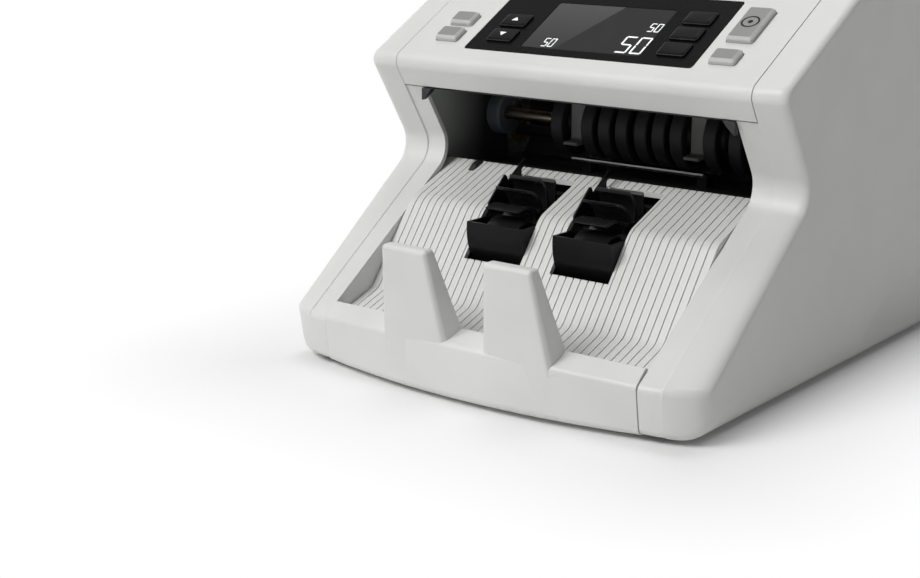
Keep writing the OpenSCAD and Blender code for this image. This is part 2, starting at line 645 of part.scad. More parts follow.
// Belt round pulleys given as [place, radius] in belt row n of a side
module belt(stops, side, n) {
    x0 = pulley_x + n * pulley_step + flange_t + run_gap;
    w = pulley_step - run_gap - 2 * flange_t - 2 * run_gap;
    along_x(side > 0 ? x0 : -x0 - w, side > 0 ? x0 + w : -x0) difference() {
        hull() for (s = stops) translate(s[0]) circle(r = s[1] + run_gap + belt_t, $fn = 32);
        hull() for (s = stops) translate(s[0]) circle(r = s[1] + run_gap, $fn = 32);
    }
}
module drive_belts() color([0.1, 0.1, 0.1]) {
    belt([[motor, motor_pulley_r], [drum, drum_pulley_r], [feed, feed_pulley_r]], -1, 0);
    belt([[motor, motor_pulley_r], [stack, stack_pulley_r]], -1, 1);
    belt([[feed, feed_pulley_r], [pickup, pickup_pulley_r]], 1, 0);
}

// Rotating pieces
module stacker_shaft() color("silver") {
    shaft(stack, 2, 0);
    pulley(stack, stack_pulley_r, -1, 1, 1);
}

module wheel_profile() {
    vane_r = wheel_r * 0.62;
    difference() {
        union() {
            circle(r = 9, $fn = 48);
            for (k = [0:vanes - 1]) rotate(360 * k / vanes) intersection() {
                translate([wheel_r * 0.46, wheel_r * 0.42]) difference() {
                    circle(r = vane_r, $fn = 64);
                    circle(r = vane_r - 1.5, $fn = 64);
                }
                circle(r = wheel_r, $fn = 96);
                translate([4, -wheel_r]) square([wheel_r, wheel_r + 2]);
            }
        }
        circle(r = shaft_r + fit, $fn = 32);
    }
}
wheel_w = 20;
module stacker_wheels() color([0.12, 0.12, 0.13]) for (sx = [-1, 1])
    translate([0, stack.x, stack.y]) along_x(sx * wheel_x - wheel_w / 2, sx * wheel_x + wheel_w / 2)
        wheel_profile();

ring_places = [-48, -28, -17, -6, 6, 17, 28, 48, 63];
module ring(x) translate([x, drum.x, drum.y]) rotate([0, 90, 0]) rotate_extrude($fn = 72) polygon([
    [shaft_r + fit, -ring_w / 2], [8, -ring_w / 2], [9, -1.6], [ring_r - 4, -1.6],
    [ring_r - 3.4, -ring_w / 2],
    [ring_r - 0.6, -ring_w / 2], [ring_r, -ring_w / 2 + 0.6], [ring_r, ring_w / 2 - 0.6],
    [ring_r - 0.6, ring_w / 2],
    [ring_r - 3.4, ring_w / 2], [ring_r - 4, 1.6], [9, 1.6], [8, ring_w / 2],
    [shaft_r + fit, ring_w / 2]]);
module transport_shaft() color("silver") shaft(drum, 1, 0);
module transport_rings() color([0.16, 0.16, 0.17]) for (x = ring_places) ring(x);
edge_roller_r = 12;
edge_roller_w = 9;
module edge_roller() color("slategray") translate([-bay_x + 1 + edge_roller_w / 2 + run_gap, drum.x,
    drum.y]) rotate([0, 90, 0]) rotate_extrude($fn = 64)
    translate([0, -edge_roller_w / 2]) polygon([[shaft_r + fit, 0], [edge_roller_r - 1, 0],
        [edge_roller_r, 1], [edge_roller_r, edge_roller_w - 1],
        [edge_roller_r - 1, edge_roller_w], [7, edge_roller_w], [6.4, edge_roller_w - 2],
        [shaft_r + fit, edge_roller_w - 2]]);
module transport_pulley() color("dimgray") pulley(drum, drum_pulley_r, -1, 0);
finger_x = 38;
finger_w = 8.5;
finger_y = drum.x - 11.5;
finger_foot_z = drum.y - 8;
finger_foot_l = 7.5;
finger_t = 2;
finger_top = 137;
module stripper_fingers() color("gray") {
    for (sx = [-1, 1]) along_x(sx * finger_x - finger_w / 2, sx * finger_x + finger_w / 2)
        polygon(path([[finger_y + finger_t, finger_top + 1], [finger_y, finger_top + 1],
            [finger_y, finger_foot_z], [finger_y - finger_foot_l, finger_foot_z - 0.6],
            [finger_y - finger_foot_l, finger_foot_z - 0.4 - finger_t],
            [finger_y + finger_t, finger_foot_z - finger_t]], [0, 0, 1, 0.6, 0.6, 0], 0, 3));
    translate([-plate_in + seat, finger_y - 3, finger_top]) cube([2 * (plate_in - seat), 7, 5]);
}
guide_r = ring_r + 3;
guide_t = 1;
guide_half = 41.6;
guide_ends = [237, 305];
guide_leg = [6, 8];
module guide_plate() color("silver") {
    far = 3 * guide_r;
    cut = [for (a = guide_ends) far * [cos(a), sin(a)]];
    along_x(-guide_half, guide_half) translate(drum) difference() {
        circle(r = guide_r + guide_t, $fn = 96);
        circle(r = guide_r, $fn = 96);
        polygon([[0, 0], cut[1], [far, 0], [far, far], [-far, far], [-far, 0], cut[0]]);
    }
    both_sides() translate([guide_half - guide_leg.x - 2, drum.x - guide_leg.y / 2, liner_floor + seat])
        cube([guide_leg.x, guide_leg.y, drum.y - guide_r - 0.4 * guide_t - liner_floor - seat]);
}
pinch_places = [-28, -6, 6, 28];
module pinch_roller() color([0.15, 0.15, 0.16]) {
    shaft(pinch, 0, 0);
    for (x = pinch_places) rod_x(pinch, pinch_r, x - 4, x + 4);
}
feed_x = 20;
feed_w = 18;
module feed_shaft() color("silver") shaft(feed, 1, 1);
module feed_rollers() color([0.15, 0.15, 0.16]) for (sx = [-1, 1])
    translate([sx * feed_x, feed.x, feed.y]) rotate([0, 90, 0])
    rotate_extrude($fn = 72) polygon(concat([[shaft_r + fit, -feed_w / 2], [feed_r - 0.8, -feed_w / 2]],
        [for (k = [0:5]) each [[feed_r, -feed_w / 2 + 0.8 + 3 * k], [feed_r, -feed_w / 2 + 2.2 + 3 * k],
            [feed_r - 0.8, -feed_w / 2 + 3 + 3 * k]]], [[shaft_r + fit, feed_w / 2]]));
module feed_pulleys() color("dimgray") for (side = [-1, 1]) pulley(feed, feed_pulley_r, side, 0);
module pickup_shaft() color("silver") shaft(pickup, 0, 1);
module pickup_rollers() color([0.15, 0.15, 0.16]) for (sx = [-1, 1])
    translate([sx * feed_x, pickup.x, pickup.y]) rotate([0, 90, 0])
    rotate_extrude($fn = 64) polygon([[shaft_r + fit, -7], [pickup_r - 0.8, -7], [pickup_r, -6.2],
        [pickup_r, 6.2], [pickup_r - 0.8, 7], [shaft_r + fit, 7]]);
module pickup_pulley() color("dimgray") pulley(pickup, pickup_pulley_r, 1, 0);
module drive_motor() color("gray") difference() {
    union() {
        rod_x(motor, motor_r, -plate_in + seat / 2, -plate_in + motor_l);
        rod_x(motor, 8, -plate_out - 0.6, -plate_in + 1);
        rod_x(motor, 10, -plate_in + motor_l - 1, -plate_in + motor_l + 5);
        for (y = [-14, 6]) translate([-plate_in + flange_w + seat, motor.x + y, floor_z + seat])
            cube([34, 8, motor.y - motor_r + 4 - floor_z]);
    }
    rod_x(motor, shaft_r + fit, -half_w, -plate_in + 12);
}
module motor_pulley() color("dimgray") {
    for (n = [0, 1]) pulley(motor, motor_pulley_r, -1, n, 1);
    rod_x(motor, shaft_r, -shaft_end(2) + 1, -plate_in + 10);
}

// Feed gap and hopper
holder_x = 34;
module retard_holder() color("dimgray") difference() {
    along_x(-holder_x, holder_x) difference() {
        polygon(rounded([[feed.x - 16, feed.y + 10], [feed.x + 4, feed.y + 14], [feed.x + 4,
            feed.y + feed_r + 16], [feed.x - 16, feed.y + feed_r + 16]], [2, 1, 2, 2], 3));
        translate(feed) circle(r = feed_r + 3, $fn = 72);
    }
    translate([0, knob_y, feed.y]) cylinder(r = stem_r + fit, h = 60, $fn = 48);
}
module retard_pad() color([0.2, 0.2, 0.2]) along_x(-holder_x + 4, holder_x - 4) translate(feed)
    difference() {
    circle(r = feed_r + 3 - seat / 2, $fn = 72);
    circle(r = feed_r + 0.4, $fn = 72);
    polygon([[0, 0], 50 * [cos(82), sin(82)], [60, 0], [60, -60], [-60, -60], [-60, 0],
        50 * [cos(140), sin(140)]]);
}
top_path = [[panel_end_y + seam, slope_z(panel_end_y + seam)], [top_front_y, top_z],
    [hopper_front, top_line_z(hopper_front)], [hopper_front, throat_z]];
module top_cover() color("whitesmoke") difference() {
    along_x(-(rim_x - seam), rim_x - seam) polygon(band(top_path, [0, 14, 4, 0], 0, -wall, arc_n));
    translate([0, knob_y, 100]) cylinder(r = stem_r + fit, h = 150, $fn = 48);
    both_sides() translate([plate_in - seat, hopper_front - wall - 1, throat_z - 1])
        cube([rim_w, wall + 2, frame_top + seat + 1 - throat_z]);
}
module gap_knob() color("dimgray") translate([0, knob_y, top_line_z(knob_y) + run_gap + 0.3]) {
    difference() {
        cylinder(r = knob_r, h = knob_h, $fn = 64);
        for (k = [0:17]) rotate(20 * k) translate([knob_r + 0.6, 0, -1])
            cylinder(r = 1.3, h = 20, $fn = 24);
        translate([-1, 3, knob_h - 0.8]) cube([2, knob_r, 2]);
    }
    translate([0, 0, -stem_l]) cylinder(r = stem_r, h = stem_l + 1, $fn = 48);
}
module hopper_tray() color("gainsboro") {
    x = tray_wall_x + tray_wall_t;
    floor_path = [tray_low, [tray_rear_y, tray_z(tray_rear_y)]];
    difference() {
        along_x(-x, x) polygon(concat(path_points(floor_path, 0),
            reversed(path_points(floor_path, -tray_t))));
        for (sx = [-1, 1]) translate([sx * feed_x, pickup_foot.x, pickup_foot.y])
            rotate([tray_slope, 0, 0])
            block([17, 2 * (sqrt(pickup_r * pickup_r - pow(pickup_r - pickup_out - tray_t, 2)) + 1.2),
                20], [0, 0, -10]);
    }
    both_sides() {
        along_x(tray_wall_x, x) polygon([[hopper_front + seam, tray_z(hopper_front) - tray_t + 1],
            [tray_rear_y, tray_z(tray_rear_y) - tray_t],
            [tray_rear_y, top_line_z(tray_rear_y) - 0.5], [hopper_front + seam, top_line_z(hopper_front)
                - 0.5]]);
        along_x(tray_wall_x, rim_x - seam) polygon([[hopper_front + seam, top_line_z(hopper_front) - 3],
            [tray_rear_y, top_line_z(tray_rear_y) - 3],
            [tray_rear_y, top_line_z(tray_rear_y) - 0.5], [hopper_front + seam, top_line_z(hopper_front)
                - 0.5]]);
        difference() {
            rod_x([rail_y, rail_z], rail_r + 2.5, tray_wall_x - 3, tray_wall_x + 0.5);
            rod_x([rail_y, rail_z], rail_r + fit, tray_wall_x - 4, tray_wall_x);
        }
    }
}
module guide_rail() color("silver") rod_x([rail_y, rail_z], rail_r, -tray_wall_x + seat,
    tray_wall_x - seat);
module note_guide() {
    fence = [[hopper_front + 10, tray_z(hopper_front + 10) + run_gap], [rail_y, tray_z(rail_y)
        + run_gap], [rail_y + guide_boss_r, rail_z],
        [rail_y + guide_boss_r - 2, rail_z + 17], [rail_y - 14, rail_z + 19], [hopper_front + 10,
            tray_z(hopper_front + 10) + 16]];
    difference() {
        union() {
            along_x(guide_rest_x, guide_rest_x + fence_t) polygon(rounded(fence, [1, 2, 3, 5, 8, 6], 4));
            rod_x([rail_y, rail_z], guide_boss_r, guide_rest_x, guide_rest_x + guide_boss_l);
        }
        rod_x([rail_y, rail_z], rail_r + fit, 0, half_w);
    }
}
module right_note_guide() color("darkgray") note_guide();
module left_note_guide() color("darkgray") mirror([1, 0, 0]) note_guide();

// Back
knuckle = 16;
lug_x = rim_x - 23;
cover_path = [[cover_lip_y, tray_z(cover_lip_y) + 2], [cover_lip_y, top_line_z(cover_lip_y)], top_rear,
    rear_shoulder, [rear_y, hinge.y]];
module rear_cover() color("whitesmoke") {
    x = rim_x - seam;
    difference() {
        union() {
            along_x(-x, x) polygon(band(cover_path, [0, 3, side_r[3], side_r[2], 0], 0, -wall, arc_n));
            rod_x(hinge, hinge_r, -x + seat, x - seat);
            along_x(-x + 2 * seat, x - 2 * seat) translate(hinge + [0, 0.4])
                square([rear_y - hinge.x - wall / 2, 2.4]);
        }
        rod_x(hinge, pin_r + fit, -half_w, half_w);
        for (sx = [-1, 1]) translate([sx * lug_x - knuckle / 2 - run_gap, hinge.x - 10, hinge.y - 10])
            cube([knuckle + 2 * run_gap, 30, 10 + hinge_r + 1.2]);
    }
}
back_top = hinge.y - (rear_y - hinge.x) - 2 * run_gap;
inlet_x = -(rim_x - 41);
switch_x = -(rim_x - 77);
switch_w = 13;
switch_h = 19;
rocker_tilt = 7;
switch_z = 36;
switch_pivot = [rear_y - wall - 3, switch_z];
module back_panel() color("whitesmoke") {
    x = rim_x - seam;
    y0 = rear_y - wall;
    difference() {
        translate([-x, y0, foot_h]) cube([2 * x, wall, back_top - foot_h]);
        translate([inlet_x - 14, y0 - 5, switch_z - 10]) cube([28, 20, 20]);
        translate([switch_x - switch_w / 2 - run_gap, y0 - 5, switch_z - switch_h / 2 - run_gap])
            cube([switch_w + 2 * run_gap, 20, switch_h + 2 * run_gap]);
        for (i = [-6:6]) translate([i * 7 + 22 - 1.5, y0 - 5, 56]) cube([3, 20, 16]);
    }
    for (sx = [-1, 1]) {
        along_x(sx * lug_x - knuckle / 2, sx * lug_x + knuckle / 2) union() {
            translate(hinge) circle(r = hinge_r, $fn = 32);
            translate([hinge.x - hinge_r, back_top - 8]) square([2 * hinge_r, 8 + hinge.y - back_top]);
        }
        rod_x(hinge, pin_r, sx * lug_x - knuckle / 2 - 7, sx * lug_x + knuckle / 2 + 7);
        translate([switch_x + sx * (switch_w / 2 + run_gap + 1) - 1, y0 - 4.6, switch_z - 4])
            cube([2, 5, 8]);
        rod_x(switch_pivot, 1, switch_x + sx * (switch_w / 2 - 0.4) - 1.4,
            switch_x + sx * (switch_w / 2 - 0.4) + 1.4);
    }
}
module power_inlet() color([0.07, 0.07, 0.08]) {
    y0 = rear_y - wall;
    difference() {
        translate([inlet_x - 14 + seat, y0 - 16, switch_z - 10 + seat])
            cube([28 - 2 * seat, 16 + wall, 20 - 2 * seat]);
        translate([inlet_x - 11.5, y0 - 13, switch_z - 7.5]) cube([23, 30, 15]);
    }
    for (dx = [-6, 0, 6]) translate([inlet_x + dx - 0.8, y0 - 14, switch_z - 2 + (dx == 0 ? 2.5 : -1)])
        cube([1.6, 13, 4]);
}
module power_switch() color([0.08, 0.08, 0.09])
    along_x(switch_x - switch_w / 2, switch_x + switch_w / 2) difference() {
        translate(switch_pivot) rotate(rocker_tilt)
            polygon([[-2, -3], [1.6, -switch_h / 2 + 0.6], [4.6, -switch_h / 2 + 0.9],
            [3.4, 0], [4.6, switch_h / 2 - 0.9], [1.6, switch_h / 2 - 0.6], [-2, 3]]);
        translate(switch_pivot) circle(r = 1 + fit, $fn = 24);
    }
board_at = [-20, 138];
board_size = [100, 52];
board_lift = 6;
supply_size = [80, 44, 46];
supply_back = 64;
supply_gap = 4;
supply_at = [plate_in - flange_w - supply_gap - supply_size.x, rear_y - supply_back];
module circuit_boards() color("darkgreen") {
    top = floor_z + board_lift + board_t;
    translate([board_at.x, board_at.y, floor_z]) {
        for (dx = [4, board_size.x - 4], dy = [4, board_size.y - 4]) translate([dx, dy, 0])
            cylinder(r = 3, h = board_lift, $fn = 24);
        translate([0, 0, board_lift]) cube([board_size.x, board_size.y, board_t]);
    }
    translate([board_at.x + 20, board_at.y + 12, top]) cube([18, 18, 3]);
    translate([board_at.x + 60, board_at.y + 10, top]) cube([30, 12, 14]);
    translate([supply_at.x, supply_at.y, floor_z]) cube(supply_size);
}

placed() base_tray();
placed() rubber_feet();
placed() cover_screws();
placed() left_side_cover();
placed() right_side_cover();
placed() control_panel();
placed() display_panel();
placed() display_window();
placed() key_board();
placed() key_left_upper();
placed() key_left_lower();
placed() key_up();
placed() key_down();
placed() key_mode_upper();
placed() key_mode_middle();
placed() key_mode_lower();
placed() key_start();
placed() key_clear();
placed() front_bar();
placed() stacker_deck();
placed() wheel_shrouds();
placed() bay_walls();
placed() bay_ceiling();
placed() bay_liner();
placed() left_frame_plate();
placed() right_frame_plate();
placed() tie_bars();
placed() bearings();
placed() stacker_shaft();
placed() stacker_wheels();
placed() transport_shaft();
placed() transport_rings();
placed() edge_roller();
placed() transport_pulley();
placed() stripper_fingers();
placed() guide_plate();
placed() pinch_roller();
placed() feed_shaft();
placed() feed_rollers();
placed() feed_pulleys();
placed() pickup_shaft();
placed() pickup_rollers();
placed() pickup_pulley();
placed() drive_motor();
placed() motor_pulley();
placed() drive_belts();
placed() retard_holder();
placed() retard_pad();
placed() gap_knob();
placed() top_cover();
placed() hopper_tray();
placed() guide_rail();
placed() left_note_guide();
placed() right_note_guide();
placed() rear_cover();
placed() back_panel();
placed() power_inlet();
placed() power_switch();
placed() circuit_boards();
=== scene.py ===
import json
import math

import bmesh
import bpy
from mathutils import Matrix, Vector
from mathutils.bvhtree import BVHTree


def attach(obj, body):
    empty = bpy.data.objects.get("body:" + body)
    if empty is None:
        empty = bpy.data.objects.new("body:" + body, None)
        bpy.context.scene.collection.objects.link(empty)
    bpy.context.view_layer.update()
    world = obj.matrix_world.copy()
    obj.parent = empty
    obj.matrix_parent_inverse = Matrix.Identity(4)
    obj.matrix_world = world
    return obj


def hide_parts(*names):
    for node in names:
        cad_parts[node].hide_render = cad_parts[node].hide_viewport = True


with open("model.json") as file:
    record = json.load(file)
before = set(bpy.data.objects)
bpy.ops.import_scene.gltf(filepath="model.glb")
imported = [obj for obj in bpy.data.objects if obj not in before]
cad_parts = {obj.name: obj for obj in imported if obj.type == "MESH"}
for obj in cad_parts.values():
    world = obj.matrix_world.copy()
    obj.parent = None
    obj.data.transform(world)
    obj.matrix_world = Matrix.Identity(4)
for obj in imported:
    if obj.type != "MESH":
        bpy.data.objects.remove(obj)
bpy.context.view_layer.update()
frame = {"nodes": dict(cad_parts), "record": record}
nodes = frame["nodes"]
record = frame["record"]
slots = {part["node"]: part["material_slot"] for part in record["subparts"]}
members = record["behaviour"]["bodies"]
body_of = {node: body for body, inside in members.items() for node in inside}
MM = 0.001

# Control panel plane, in millimetres of the part frame
SLOPE = math.radians(28.7)
PANEL_FOOT = Vector((0, -53.5, 159.79))
UP_SLOPE = Vector((0, math.cos(SLOPE), math.sin(SLOPE)))
OUT = Vector((0, -math.sin(SLOPE), math.cos(SLOPE)))

# Grain of the surfaces, in noise cells per metre
MOTTLE = 22.0
SMEAR = 90.0
MOULD_GRAIN = 2600.0
RUBBER_GRAIN = 900.0
BRUSHING = (40.0, 2200.0, 2200.0)
# Depth of the grain, reach of worn edges and rounding of edges, in metres
GRAIN_DEPTH = 0.0001
EDGE_REACH = 0.0007
EDGE_ROUND = 0.0004
BEVEL_SAMPLES = 4
ROUGH_SPREAD = 0.02

# Line where the painted reflection on the window ends: its place at the panel's foot, lean and blur, in
# metres
PAINTED_SHEEN_X = -0.0187
PAINTED_SHEEN_LEAN = 0.51
PAINTED_SHEEN_BLUR = 0.0003
# Heights up the panel between which the painted reflection grows brighter
PAINTED_SHEEN_RISE = (0.008, 0.045)

# Range along y over which the bay walls fade to dark, and that dark: partly a darker liner, partly
# painted shade deeper in the bay
BAY_LINER_SHADE_FADE = (-0.035, 0.01)
BAY_LINER_AND_SHADE = (0.05, 0.052, 0.05)
# Height under which the legs of the guide plate are painted dark as shade, and the blur of that edge
LEGS_SHADE_TOP = 0.0932
LEGS_SHADE_BLUR = 0.0002


# Materials
def link(tree, output, socket):
    tree.links.new(output, socket)


def feed(tree, value, socket):
    """Links an output to a socket, or sets the socket to a constant."""
    if isinstance(value, bpy.types.NodeSocket):
        link(tree, value, socket)
    else:
        socket.default_value = value


def new_tree(name):
    material = bpy.data.materials.new(name)
    material.use_nodes = True
    tree = material.node_tree
    tree.nodes.clear()
    out = tree.nodes.new("ShaderNodeOutputMaterial")
    shader = tree.nodes.new("ShaderNodeBsdfPrincipled")
    link(tree, shader.outputs[0], out.inputs[0])
    return material, tree, shader


def object_coords(tree):
    return tree.nodes.new("ShaderNodeTexCoord").outputs["Object"]


def noise(tree, coords, scale, detail=3.0):
    node = tree.nodes.new("ShaderNodeTexNoise")
    node.inputs["Scale"].default_value = scale
    node.inputs["Detail"].default_value = detail
    node.inputs["Roughness"].default_value = 0.55
    link(tree, coords, node.inputs["Vector"])
    return node.outputs["Fac"]


def ramp(tree, value, low, high, to_low=0.0, to_high=1.0):
    node = tree.nodes.new("ShaderNodeMapRange")
    node.inputs["From Min"].default_value = low
    node.inputs["From Max"].default_value = high
    node.inputs["To Min"].default_value = to_low
    node.inputs["To Max"].default_value = to_high
    link(tree, value, node.inputs["Value"])
    return node.outputs["Result"]


def spread(tree, value, low=0.0, high=1.0):
    """Noise brought to the range low to high."""
    return ramp(tree, value, 0.3, 0.7, low, high)


def mix(tree, share, first, second):
    node = tree.nodes.new("ShaderNodeMix")
    node.data_type = "RGBA"
    feed(tree, share, node.inputs[0])
    feed(tree, first, node.inputs[6])
    feed(tree, second, node.inputs[7])
    return node.outputs[2]


def rgb(color, factor=1.0):
    return (color[0] * factor, color[1] * factor, color[2] * factor, 1.0)


def grey(value):
    return (value, value, value, 1.0)


def dot_product(tree, first, second):
    node = tree.nodes.new("ShaderNodeVectorMath")
    node.operation = "DOT_PRODUCT"
    feed(tree, first, node.inputs[0])
    feed(tree, second, node.inputs[1])
    return node.outputs["Value"]


def true_normal(tree):
    return tree.nodes.new("ShaderNodeNewGeometry").outputs["Normal"]


def rounded_normal(tree, radius):
    node = tree.nodes.new("ShaderNodeBevel")
    node.samples = BEVEL_SAMPLES
    node.inputs["Radius"].default_value = radius
    return node.outputs[0]


def edge_mask(tree, radius):
    """1 on sharp outer edges, 0 on flats."""
    return ramp(tree, dot_product(tree, rounded_normal(tree, radius), true_normal(tree)), 0.99, 0.80)


def facing(tree, direction, low, high):
    """1 where the surface faces the direction, 0 where it turns away from it."""
    return ramp(tree, dot_product(tree, true_normal(tree), direction), low, high)


def along(tree, direction):
    """Place along a direction, in metres of the part frame."""
    return dot_product(tree, object_coords(tree), direction)


def add_bump(tree, shader, height, strength, normal=None):
    node = tree.nodes.new("ShaderNodeBump")
    node.inputs["Strength"].default_value = strength
    node.inputs["Distance"].default_value = GRAIN_DEPTH
    link(tree, height, node.inputs["Height"])
    if normal:
        link(tree, normal, node.inputs["Normal"])
    link(tree, node.outputs[0], shader.inputs["Normal"])


def plastic(name, color, rough=0.45, tint=0.03, bump=0.05, grain=MOULD_GRAIN, edge=1.08, metal=0.0,
            spec=0.5, edge_reach=EDGE_REACH, edge_round=EDGE_ROUND, top=None, liner_and_shade=None):
    """Moulded plastic or rubber with worn edges, lighter in colour; on the keys the lighter edges are
    also a painted highlight.

    top is the colour of faces square to the control panel; the last argument is a range along y and the
    colour that the surface fades to over it, which on the bay walls is partly a darker liner and partly
    painted shade.
    """
    material, tree, shader = new_tree(name)
    coords = object_coords(tree)
    fine = noise(tree, coords, grain, 2.0)
    mottle = spread(tree, noise(tree, coords, MOTTLE, 2.0))
    base = mix(tree, mottle, rgb(color, 1 - tint), rgb(color, 1 + tint))
    if top:
        speck = mix(tree, spread(tree, fine), rgb(top, 0.9), rgb(top, 1.1))
        base = mix(tree, facing(tree, OUT, 0.90, 0.98), base, speck)
    # Fade along y: partly a darker liner, partly painted shade deeper in the bay
    if liner_and_shade:
        (start, end), dark = liner_and_shade
        base = mix(tree, ramp(tree, along(tree, (0, 1, 0)), start, end), base, rgb(dark))
    if edge != 1.0:
        base = mix(tree, edge_mask(tree, edge_reach), base, rgb(color, edge))
    smear = noise(tree, coords, SMEAR)
    link(tree, base, shader.inputs["Base Color"])
    link(tree, spread(tree, smear, rough - ROUGH_SPREAD, rough + 3 * ROUGH_SPREAD),
         shader.inputs["Roughness"])
    shader.inputs["Metallic"].default_value = metal
    shader.inputs["Specular IOR Level"].default_value = spec
    add_bump(tree, shader, fine, bump, rounded_normal(tree, edge_round) if edge_round else None)
    return material


def brushed(name, color, rough=0.32, shade_below=None):
    """Brushed metal; what lies under a given height is painted dark as shade."""
    material, tree, shader = new_tree(name)
    mapping = tree.nodes.new("ShaderNodeMapping")
    mapping.inputs["Scale"].default_value = BRUSHING
    link(tree, object_coords(tree), mapping.inputs["Vector"])
    streak = noise(tree, mapping.outputs[0], 1.0)
    base = mix(tree, spread(tree, streak), rgb(color, 0.85), rgb(color, 1.1))
    if shade_below:
        # Painted shade: nearly black under the height
        out_of_shade = ramp(tree, along(tree, (0, 0, 1)), shade_below - LEGS_SHADE_BLUR, shade_below + LEGS_SHADE_BLUR)
        base = mix(tree, out_of_shade, rgb(color, 0.03), base)
    link(tree, base, shader.inputs["Base Color"])
    link(tree, spread(tree, streak, rough - 0.06, rough + 0.12), shader.inputs["Roughness"])
    shader.inputs["Metallic"].default_value = 1.0
    add_bump(tree, shader, streak, 0.08)
    return material


def window_glass():
    """Dark window with a painted reflection: paler colour on the left of a slanting line."""
    material, tree, shader = new_tree("window")
    coords = object_coords(tree)
    foot = PANEL_FOOT.dot(UP_SLOPE) * MM
    across = Vector((1, 0, 0)) - UP_SLOPE * PAINTED_SHEEN_LEAN
    line = PAINTED_SHEEN_X - PAINTED_SHEEN_LEAN * foot
    # Painted reflection: paler colour left of the slanting line, growing brighter up the panel
    left = ramp(tree, along(tree, across), line + PAINTED_SHEEN_BLUR, line - PAINTED_SHEEN_BLUR)
    rise = ramp(tree, along(tree, UP_SLOPE), foot + PAINTED_SHEEN_RISE[0], foot + PAINTED_SHEEN_RISE[1])
    painted_sheen = mix(tree, rise, grey(0.052), grey(0.094))
    flat = mix(tree, spread(tree, noise(tree, coords, 60.0)), grey(0.034), grey(0.037))
    link(tree, mix(tree, left, flat, painted_sheen), shader.inputs["Base Color"])
    link(tree, spread(tree, noise(tree, coords, 120.0), 0.1, 0.14), shader.inputs["Roughness"])
    shader.inputs["Specular IOR Level"].default_value = 0.03
    return material


def glowing_white():
    """White that glows: the lit digits of the display, and the printed arrows on the keys, whose glow is
    painted light.
    """
    material, tree, shader = new_tree("glowing_white")
    cloud = spread(tree, noise(tree, object_coords(tree), 400.0))
    shade = mix(tree, cloud, rgb((0.8, 0.82, 0.82)), rgb((0.9, 0.92, 0.92)))
    link(tree, shade, shader.inputs["Base Color"])
    link(tree, shade, shader.inputs["Emission Color"])
    # Glow: real on the lit digits, painted light on the printed arrows
    shader.inputs["Emission Strength"].default_value = 0.55
    shader.inputs["Roughness"].default_value = 0.4
    return material


# One look for each material slot of the record
MATS = {
    "housing": plastic("housing", (0.71, 0.71, 0.695), rough=0.42, bump=0.06, edge=1.05),
    "inner_dark": plastic("inner_dark", (0.010, 0.010, 0.011), edge=2.2),
    "bay_grey": plastic("bay_grey", (0.24, 0.245, 0.235), rough=0.55, edge=1.3, spec=0.2),
    "panel_black": plastic("panel_black", (0.007, 0.007, 0.007), rough=0.25, bump=0.01, edge=2.5,
                           spec=0.02),
    "window": window_glass(),
    # The lighter edges of the grey keys are wear and a painted highlight
    "key_grey": plastic("key_grey", (0.56, 0.56, 0.55), rough=0.4, edge=1.3, spec=0.3,
                        edge_reach=0.0009, edge_round=0.0006, top=(0.26, 0.26, 0.255)),
    # The black keys' edges are painted grey: a painted highlight
    "key_black": plastic("key_black", (0.006, 0.006, 0.006), rough=0.3, edge=24.0, spec=0.04,
                         edge_round=0.0005, top=(0.007, 0.007, 0.007)),
    "roller_rubber": plastic("roller_rubber", (0.021, 0.021, 0.024), rough=0.55, bump=0.25,
                             grain=RUBBER_GRAIN, edge=1.5, spec=0.25),
    "roller_blue": plastic("roller_blue", (0.12, 0.135, 0.155), rough=0.55, bump=0.2,
                           grain=RUBBER_GRAIN, edge=1.3),
    "foot_rubber": plastic("foot_rubber", (0.02, 0.02, 0.02), rough=0.7, bump=0.3,
                           grain=RUBBER_GRAIN, edge=1.5),
    "steel": brushed("steel", (0.56, 0.54, 0.52)),
    "sheet_steel": brushed("sheet_steel", (0.6, 0.61, 0.62), 0.38),
    "bronze": brushed("bronze", (0.5, 0.34, 0.16), 0.45),
    "pulley": plastic("pulley", (0.03, 0.03, 0.03), rough=0.5, edge=1.6),
    "board": plastic("board", (0.012, 0.09, 0.035), rough=0.4, tint=0.2, edge=1.4),
    "motor_case": plastic("motor_case", (0.12, 0.12, 0.13), rough=0.35, metal=0.6, edge=1.6),
    "belt": plastic("belt", (0.012, 0.012, 0.012), rough=0.7, bump=0.3, grain=RUBBER_GRAIN,
                    edge=1.4),
}
# Nodes that look different from the rest of their slot
LOOKS = {
    # The bay walls fade to dark towards the back: partly a darker liner, partly painted shade
    "bay_walls": plastic("bay_wall", (0.52, 0.545, 0.525), rough=0.6, edge=1.05, spec=0.1,
                         liner_and_shade=(BAY_LINER_SHADE_FADE, BAY_LINER_AND_SHADE)),
    "wheel_shrouds": plastic("shroud_black", (0.008, 0.008, 0.009), rough=0.3, edge=2.0, spec=0.12),
    "stacker_wheels": plastic("wheel_black", (0.011, 0.011, 0.012), rough=0.28, edge=3.0, spec=0.2),
    "transport_shaft": brushed("warm_steel", (0.44, 0.37, 0.30)),
    # The legs of the guide plate are painted dark: painted shade
    "guide_plate": brushed("guide_steel", (0.6, 0.61, 0.62), 0.38, shade_below=LEGS_SHADE_TOP),
}
GLOWING_WHITE = glowing_white()
KEY_INK = plastic("key_ink", (0.012, 0.012, 0.012), rough=0.5, edge=1.0, edge_round=0, spec=0.1)

# Welding of the CAD meshes, in metres, and the angle that stays a sharp edge
WELD = 2e-6
SLIVER = 1e-6
SHARP = math.radians(32.0)


def look(node):
    return LOOKS.get(node, MATS[slots[node]])


